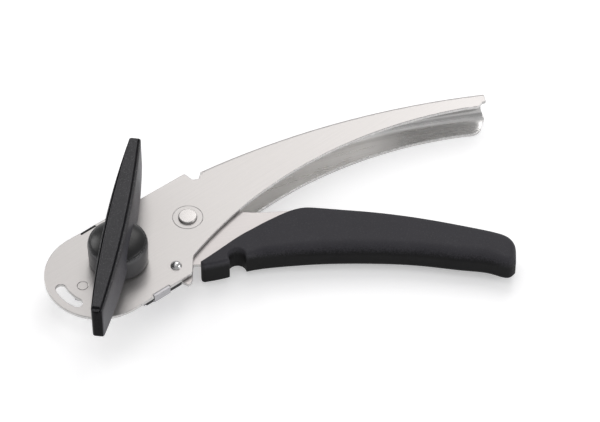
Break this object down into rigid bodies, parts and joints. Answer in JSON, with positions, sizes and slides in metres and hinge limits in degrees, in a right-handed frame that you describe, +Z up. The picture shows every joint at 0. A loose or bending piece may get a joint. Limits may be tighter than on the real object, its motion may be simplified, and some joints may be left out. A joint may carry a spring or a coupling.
{
  "type": "can opener",
  "caption": "Hand can opener: steel head plate with channel-shaped arm, pivoted lever with moulded grip and cutting wheel, and turning key driving a toothed feed wheel.",
  "frame": {"origin": "axis of the key shaft, on the plane that the tool rests on (the shaft's lower end)", "axes": "+Z up through the key, square to the head plate; +X towards the handles' free ends; +Y across, from the grip towards the steel arm"},
  "size_m": [0.1888, 0.1377, 0.0376],
  "materials": {
    "frame_steel": "fine brushed",
    "lever_steel": "fine brushed",
    "bright_steel": "polished",
    "hard_steel": "ground",
    "grip_plastic": "fine-grained matte",
    "key_plastic": "satin",
    "guide_plastic": "satin"
  },
  "bodies": {
    "frame": {"frame_plate": "frame_steel", "shaft_bush": "bright_steel", "pivot_bush": "frame_steel", "pivot_spacer": "bright_steel", "pivot_washer": "bright_steel", "pivot_rivet": "bright_steel", "stop_pin": "bright_steel", "rim_guide": "guide_plastic", "guide_bracket": "lever_steel", "guide_rivet": "bright_steel"},
    "lever": {"lever_plate": "lever_steel", "grip": "grip_plastic", "cutter_spacer": "bright_steel", "cutter_axle": "bright_steel", "cutter_washer": "bright_steel"},
    "cutter": {"cutting_wheel": "hard_steel"},
    "key": {"turning_key": "key_plastic", "key_shaft": "bright_steel", "key_pin": "bright_steel", "key_washer": "bright_steel", "feed_wheel": "hard_steel", "feed_washer": "bright_steel", "shaft_nut": "bright_steel"}
  },
  "joints": [
    {"name": "lever_pivot", "type": "hinge", "parent": "frame", "child": "lever", "pos_m": [0.0271, 0.0225, 0.012], "axis": [0, 0, 1], "range_deg": [0, 12]},
    {"name": "key_spin", "type": "hinge", "parent": "frame", "child": "key", "pos_m": [0, 0, 0.012], "axis": [0, 0, 1], "continuous": true},
    {"name": "cutter_spin", "type": "hinge", "parent": "lever", "child": "cutter", "pos_m": [-0.00062, 0.02001, 0.005], "axis": [0, 0, 1], "continuous": true}
  ]
}
